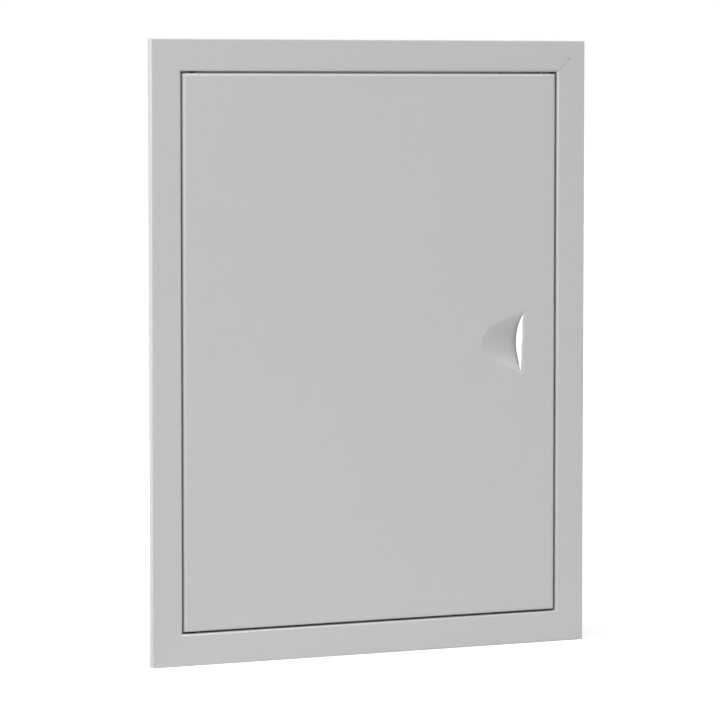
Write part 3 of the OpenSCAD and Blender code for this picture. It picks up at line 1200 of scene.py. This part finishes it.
@dataclass
class Hinge(Assembly):
    """The pivots above and below: a pin riveted in the frame and a bushed bracket in the door."""

    plate: float = 1.5 * MM
    plate_fold: float = 2.3 * MM
    plate_corner: float = 2.0 * MM
    flat_welds: tuple[float, float] = (0.6, 0.85)
    upright_welds: tuple[float, float] = (0.45, 0.78)
    pin_r: float = 1.5 * MM
    head_r: float = 3.0 * MM
    head_t: float = 1.2 * MM
    head_shape: tuple[Point2, ...] = ((0.55, 0.0), (0.86, 0.25), (1.0, 0.65), (1.0, 1.0))
    collar_t: float = 0.9 * MM
    bore_r: float = 1.56 * MM
    sleeve_r: float = 2.6 * MM
    flange_r: float = 3.8 * MM
    flange_t: float = 1.0 * MM
    ease: float = 0.15 * MM
    drill: float = 6.0 * MM

    def build(self) -> None:
        """Make and dress both hinges."""
        for level in Level:
            self.bracket(level)
            self.bush(level)
            self.pin(level)

    def bracket(self, level: Level) -> None:
        """Make a bracket: an angle welded into the door's corner, with the bush's hole.

        Args:
            level: Which one.
        """
        node = f"{level.value}_hinge_bracket"
        low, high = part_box(node)
        wide, tall = high.x - low.x, high.z - low.z
        line = [(wide, 0.0), (0.0, 0.0), (0.0, tall)]
        bm = Bench.folded_strip(line, [self.plate_fold], high.y - low.y, self.plate, self.plate_corner)
        corner = Vector((low.x, middle(node).y, outer_end(node, level).z))
        inward = -Z * level.up
        piece = Bench.to_object(Bench.move(bm, axes(corner, X, inward)), f"{level.value}_hinge_angle")
        pin = middle(f"{level.value}_pivot_pin")
        Bench.cut(piece, [Bench.bar(self.sleeve_r, self.drill, Matrix.Translation((pin.x, pin.y, corner.z)))])
        flat = (X, Y) if level.up < 0 else (Y, X)
        on_flat, on_upright = corner + inward * self.plate, corner + X * self.plate
        welds = [axes(on_flat + X * wide * share, *flat) for share in self.flat_welds]
        welds += [axes(on_upright + inward * tall * share, Y, Z) for share in self.upright_welds]
        Bench.weld(piece, welds)
        Bench.dress(piece, self.palette.zinc, Body.DOOR, node)

    def bush(self, level: Level) -> None:
        """Make a bush: a flanged sleeve of natural nylon in the door's return and the bracket.

        Args:
            level: Which one.
        """
        node = f"{level.value}_pivot_bush"
        low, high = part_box(node)
        bore, sleeve, flange, ease = self.bore_r, self.sleeve_r, self.flange_r, self.ease
        top = high.z - low.z
        under, round_off = top - self.flange_t, top - 2 * ease
        profile = [(bore + ease, 0), (sleeve - ease, 0), (sleeve, ease), (sleeve, under)]
        profile += [(flange - ease, under), (flange, under + ease), (flange, round_off)]
        profile += [(flange - 2 * ease, top), (bore + 2 * ease, top), (bore, round_off), (bore, ease)]
        bm = Bench.move(Bench.turned(profile, closed=True), self.standing(node, level))
        piece = Bench.to_object(bm, f"{level.value}_nylon_bush")
        Bench.dress(piece, self.palette.nylon, Body.DOOR, node, edge=0)

    def pin(self, level: Level) -> None:
        """Make a pin: a riveted head, the collar that the door runs on, and a chamfered shank.

        Args:
            level: Which one.
        """
        node = f"{level.value}_pivot_pin"
        low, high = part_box(node)
        head, shank, ease, top = self.head_r, self.pin_r, self.ease, high.z - low.z
        tip, under = shank / 4, self.head_t + self.sizes.sheet
        over = under + self.collar_t
        profile = [(0, 0), *((head * out, self.head_t * up) for out, up in self.head_shape)]
        profile += [(shank, self.head_t), (shank, under), (head - ease, under), (head, under + ease)]
        profile += [(head, over - ease), (head - ease, over), (shank, over)]
        profile += [(shank, top - tip), (shank - tip, top), (0, top)]
        bm = Bench.move(Bench.turned(profile), self.standing(node, level))
        piece = Bench.to_object(bm, f"{level.value}_riveted_pin")
        Bench.dress(piece, self.palette.blackened, Body.FRAME, node, edge=0)

    @staticmethod
    def standing(node: str, level: Level) -> Matrix:
        """Placement of a turned piece that starts at the outer end of its node, turned over if above."""
        return Matrix.Translation(outer_end(node, level)) @ Matrix.Diagonal((1, 1, -level.up, 1))


@dataclass
class MagnetCatches(Assembly):
    """The two catches: a moulded housing, a magnet between pole plates, two screws and the door's strike."""

    strike: float = 1.2 * MM
    strike_fold: float = 2.0 * MM
    strike_corner: float = 2.5 * MM
    strike_welds: tuple[float, float] = (0.25, 0.75)
    pole: float = 1.2 * MM
    pole_corner: float = 1.5 * MM
    slip: float = 0.1 * MM
    housing_corner: float = 2.5 * MM
    block_edge: float = 0.3 * MM
    ring: tuple[float, float] = (1.0 * MM, 1.6 * MM)
    ring_deep: float = 0.4 * MM
    screw_gap: float = 34.0 * MM
    screw_r: float = 1.5 * MM
    head_r: float = 2.8 * MM
    land: float = 0.3 * MM
    cross_reach: float = 0.72
    cross_w: float = 0.8 * MM
    cross_deep: float = 0.9 * MM
    past: float = 1.0 * MM

    def build(self) -> None:
        """Make and dress both catches and their screws."""
        for level in Level:
            self.strike_plate(level)
            self.housing(level)
            self.magnet(level)
            self.pole_plates(level)
        self.screws()

    def strike_plate(self, level: Level) -> None:
        """Make a strike: an angle welded to the door's free return, its flat leg facing the magnet.

        Args:
            level: Which one.
        """
        node = f"{level.value}_strike_plate"
        low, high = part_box(node)
        centre, tall = middle(node), high.z - low.z
        line = [(low.x, high.y), (high.x, high.y), (high.x, low.y)]
        bm = Bench.folded_strip(line, [self.strike_fold], tall, self.strike, self.strike_corner)
        bmesh.ops.translate(bm, verts=bm.verts, vec=Z * centre.z)
        piece = Bench.to_object(bm, f"{level.value}_strike_angle")
        x, y = high.x - self.strike, centre.y - self.strike
        Bench.weld(piece, [axes((x, y, low.z + tall * share), Z, Y) for share in self.strike_welds])
        Bench.dress(piece, self.palette.zinc, Body.DOOR, node)

    def screw_places(self, level: Level) -> list[Matrix]:
        """Find a catch's two screws.

        Args:
            level: Which catch.

        Returns:
            Their places, with Z out of the housing's front.
        """
        node = f"{level.value}_catch_housing"
        centre, front = middle(node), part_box(node)[0].y
        return [axes((centre.x, front, centre.z + side * self.screw_gap / 2), X, Z) for side in (-1, 1)]

    def screw_profile(self, slack: float, out: float, length: float) -> list[Point2]:
        """Profile of a countersunk screw, or of its hole.

        Args:
            slack: Extra radius.
            out: How far the head runs past the front.
            length: Depth of the shank.

        Returns:
            Points as radius and height.
        """
        head, shank = self.head_r + slack, self.screw_r + slack
        cone = self.land + self.head_r - self.screw_r
        return [(0, out), (head, out), (head, -self.land), (shank, -cone), (shank, -length), (0, -length)]

    def housing(self, level: Level) -> None:
        """Make a housing: a moulded block with the magnet's pocket and two countersunk holes.

        Args:
            level: Which one.
        """
        node = f"{level.value}_catch_housing"
        low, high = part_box(node)
        centre = middle(node)
        wide, deep, tall = (high.x - low.x) / 2, high.y - low.y, (high.z - low.z) / 2
        outline = [(-wide, -tall), (wide, -tall), (wide, tall), (-wide, tall)]
        bm = Bench.blank(outline, deep, dict.fromkeys(range(4), self.housing_corner))
        Bench.move(bm, axes((centre.x, high.y, centre.z), X, Z))
        piece = Bench.to_object(bm, f"{level.value}_catch_body")
        pole_low, pole_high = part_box(f"{level.value}_pole_plates")
        slip = Vector((self.slip, 0, self.slip))
        cutters = [Bench.block(pole_low - slip, pole_high + slip)]
        hole = self.screw_profile(self.slip / 2, self.past, deep + self.past)
        inner, outer = (self.head_r + gap for gap in self.ring)
        ring = [(inner, -self.ring_deep), (outer, -self.ring_deep), (outer, self.past), (inner, self.past)]
        for place in self.screw_places(level):
            cutters.append(Bench.move(Bench.turned(hole), place))
            cutters.append(Bench.move(Bench.turned(ring, closed=True), place))
        Bench.cut(piece, cutters)
        Bench.dress(piece, self.palette.catch, Body.FRAME, node, self.block_edge, 3)

    def magnet(self, level: Level) -> None:
        """Make a magnet: a sintered block with ground corners.

        Args:
            level: Which one.
        """
        node = f"{level.value}_catch_magnet"
        bm = Bench.block(*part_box(node))
        Bench.ease(bm, bm.edges[:], self.block_edge)
        piece = Bench.to_object(bm, f"{level.value}_ferrite_block")
        Bench.dress(piece, self.palette.ferrite, Body.FRAME, node, edge=0)

    def pole_plates(self, level: Level) -> None:
        """Make the pole plates: two stamped strips, their proud corners rounded.

        Args:
            level: Of which catch.
        """
        node = f"{level.value}_pole_plates"
        low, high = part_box(node)
        deep, tall = high.y - low.y, high.z - low.z
        outline = [(0, 0), (deep, 0), (deep, tall), (0, tall)]
        plate = Bench.blank(outline, self.pole, {0: self.pole_corner, 3: self.pole_corner})
        piece = Bench.to_object(plate, f"{level.value}_pole_strips")
        Bench.repeat(piece, [axes((x, low.y, low.z), Y, Z) for x in (low.x, high.x - self.pole)])
        Bench.dress(piece, self.palette.bright, Body.FRAME, node)

    def screws(self) -> None:
        """Make the four countersunk screws, with cross recesses."""
        node = "catch_screws"
        low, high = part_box(node)
        profile = self.screw_profile(0.0, 0.0, high.y - low.y)
        piece = Bench.to_object(Bench.turned(profile), "cross_head_screws")
        arm, half = self.head_r * self.cross_reach, self.cross_w / 2
        slots = [Vector((wide, tall, 0)) for wide, tall in ((arm, half), (half, arm))]
        top, bottom = Z * self.past, -Z * self.cross_deep
        Bench.cut(piece, [Bench.block(bottom - slot, top + slot) for slot in slots])
        Bench.repeat(piece, [place for level in Level for place in self.screw_places(level)])
        Bench.dress(piece, self.palette.bright, Body.FRAME, node, edge=0.1 * MM)


@dataclass
class WallAnchors(Assembly):
    """The four split anchors on the frame's side returns, and their eight rivets."""

    corner: float = 2.0 * MM
    split: float = 6.0 * MM
    split_half: float = 5.14 * MM
    lap: float = 9.0 * MM
    rivet_gap: float = 9.0 * MM
    rivet_r: float = 1.6 * MM
    head_r: float = 3.0 * MM
    head_t: float = 0.9 * MM
    head_ease: float = 0.2 * MM
    dome_steps: int = 5
    drill: float = 8.0 * MM

    def build(self) -> None:
        """Make and dress the anchors and rivets."""
        spots = [(side, level) for level in Level for side in (Side.LEFT, Side.RIGHT)]
        for side, level in spots:
            self.anchor(side, level)
        self.rivets([place for side, level in spots for place in self.rivet_places(side, level)])

    def rivet_places(self, side: Side, level: Level) -> list[Matrix]:
        """Find one anchor's rivets.

        Args:
            side: The anchor's side.
            level: Its level.

        Returns:
            Their places on the return's inner face, with Z outward.
        """
        low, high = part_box(f"{side.value}_{level.value}_anchor")
        outward = (Y, Z) if side is Side.RIGHT else (Z, Y)
        x = self.sizes.half_w if side is Side.RIGHT else -self.sizes.half_w
        y, z = low.y + self.lap / 2, (low.z + high.z) / 2
        return [axes((x, y, z + end * self.rivet_gap / 2), *outward) for end in (-1, 1)]

    def anchor(self, side: Side, level: Level) -> None:
        """Make one anchor: a strip along the return, split at its end.

        Args:
            side: The anchor's side.
            level: Its level.
        """
        node = f"{side.value}_{level.value}_anchor"
        low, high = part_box(node)
        long, wide = high.y - low.y, (high.z - low.z) / 2
        notch = self.split_half
        outline = [(0, -wide), (long, -wide), (long, -notch), (long - self.split, 0)]
        outline += [(long, notch), (long, wide), (0, wide)]
        corners = {0: self.corner, 6: self.corner, 3: self.corner / 3}
        bm = Bench.blank(outline, high.x - low.x, corners)
        Bench.move(bm, axes((low.x, low.y, middle(node).z), Y, Z))
        piece = Bench.to_object(bm, f"{side.value}_{level.value}_split_anchor")
        holes = [Bench.bar(self.rivet_r, self.drill, place) for place in self.rivet_places(side, level)]
        Bench.cut(piece, holes)
        Bench.dress(piece, self.palette.zinc, Body.FRAME, node)

    def rivets(self, places: list[Matrix]) -> None:
        """Make the rivets: a flat head inside the opening and a domed one on the anchor.

        Args:
            places: Their places.
        """
        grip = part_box("right_upper_anchor")[1].x - self.sizes.half_w
        dome = (self.head_r**2 + self.head_t**2) / (2 * self.head_t)
        start = math.acos(self.head_r / dome)
        steps, centre = self.dome_steps, grip + self.head_t - dome
        turns = [start + (math.pi / 2 - start) * step / steps for step in range(steps + 1)]
        head, thick, ease = self.head_r, self.head_t, self.head_ease
        profile = [(0, -thick), (head - ease, -thick), (head, ease - thick), (head, 0)]
        profile += [(self.rivet_r, 0), (self.rivet_r, grip)]
        profile += [(dome * math.cos(turn), centre + dome * math.sin(turn)) for turn in turns]
        piece = Bench.to_object(Bench.turned(profile, steps=COARSE), "domed_rivets")
        Bench.repeat(piece, places)
        Bench.dress(piece, self.palette.bright, Body.FRAME, "anchor_rivets", edge=0)


@dataclass(frozen=True)
class Lamp:
    """A rectangular lamp turned to the panel's middle."""

    name: str
    place: tuple[float, float, float]
    size: Point2
    power: float

    def build(self) -> None:
        """Hang the lamp."""
        data = bpy.data.lights.new(self.name, "AREA")
        data.shape = "RECTANGLE"
        data.size, data.size_y = self.size
        data.energy = self.power
        lamp = bpy.data.objects.new(self.name, data)
        lamp.visible_camera = False
        lamp.location = self.place
        lamp.rotation_euler = (-Vector(self.place)).to_track_quat("-Z", "Y").to_euler()
        bpy.context.scene.collection.objects.link(lamp)


@dataclass
class Studio:
    """Camera, lamps, floor and background."""

    sizes: Sizes
    camera_place: tuple[float, float, float] = (-1.195, -2.5319, 0.1876)
    yaw: float = 25.117
    pitch: float = 4.016
    focal_px: float = 3864.1
    frame_px: float = 720.0
    ambient: float = 0.25
    white: Colour = grey(1, 1, 1)
    paper: Colour = grey(0.9, 0.9, 0.9)
    shade: Colour = grey(0.35, 0.35, 0.35)
    floor_half: float = 30.0
    near_glow: float = 0.68
    glow_span: Point2 = (0.25, 1.0)
    lamps: tuple[Lamp, ...] = (
        Lamp("top_lamp", (0.0, -0.6, 2.8), (2.6, 1.0), 77.5),
        Lamp("left_lamp", (-2.3, -0.55, 1.3), (1.6, 1.5), 50.0),
        Lamp("rear_lamp", (2.4, 1.0, 0.3), (1.2, 1.4), 20.0),
    )

    def build(self) -> None:
        """Set up everything round the panel."""
        self.camera()
        self.world()
        self.floor()
        for lamp in self.lamps:
            lamp.build()
        bpy.context.scene.view_settings.view_transform = "Standard"

    def camera(self) -> None:
        """Put up the camera, at the photograph's angle."""
        data = bpy.data.cameras.new("camera")
        data.sensor_width = 36.0
        data.lens = self.focal_px * data.sensor_width / self.frame_px
        data.clip_start = 0.05
        data.clip_end = 100.0
        camera = bpy.data.objects.new("camera", data)
        camera.location = self.camera_place
        camera.rotation_euler = (math.radians(90 - self.pitch), 0, math.radians(-self.yaw))
        bpy.context.scene.collection.objects.link(camera)
        bpy.context.scene.camera = camera

    @staticmethod
    def seen(graph: Graph) -> Wire:
        """1 for camera, glossy and transmission rays, which see the white background, and 0 for light."""
        ray = graph.node("LightPath", output="Is Camera Ray")
        return ray.at_least(ray.sibling("Is Glossy Ray")).at_least(ray.sibling("Is Transmission Ray"))

    def world(self) -> None:
        """Make a plain surround: white where the camera or a reflection sees it, dimmer as a light."""
        world = bpy.data.worlds.new("surround")
        world.use_nodes = True
        graph = Graph(world.node_tree)
        lit = graph.node("Background", {"Color": self.white, "Strength": self.ambient})
        bright = graph.node("Background", {"Color": self.white, "Strength": 1.0})
        mixed = graph.node("MixShader", {0: self.seen(graph), 1: lit, 2: bright})
        graph.node("OutputWorld", {"Surface": mixed})
        bpy.context.scene.world = world

    def floor(self) -> None:
        """Lay a plain floor under the panel's lower edge, white to the camera but for the panel's shadow."""
        foot = Vector((0, 0, -self.sizes.outer_h))
        floor = Bench.to_object(Bench.sheet(Matrix.Translation(foot), self.floor_half), "floor")
        material = bpy.data.materials.new("floor_paper")
        material.use_nodes = True
        graph = Graph(material.node_tree)
        away = graph.distance(foot).ramp(*self.glow_span)
        matt = graph.node("BsdfDiffuse", {"Color": graph.blend(self.seen(graph), self.paper, self.shade)})
        glow = self.seen(graph) * (self.near_glow + away * (1 - self.near_glow))
        light = graph.node("Emission", {"Color": self.white, "Strength": glow})
        both = graph.node("AddShader", {0: matt, 1: light})
        graph.node("OutputMaterial", {"Surface": both})
        floor.data.materials.append(material)


def main() -> None:
    """Build the panel from its frame outwards, then the studio round it."""
    logging.basicConfig(level=logging.INFO, format="%(message)s")
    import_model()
    sizes = Sizes.from_frame()
    palette = Palette.mix()
    for kind in (FrameRails, CornerPlates, Door, Hinge, MagnetCatches, WallAnchors):
        kind(sizes, palette).build()
    Studio(sizes).build()


if __name__ == "__main__":
    main()
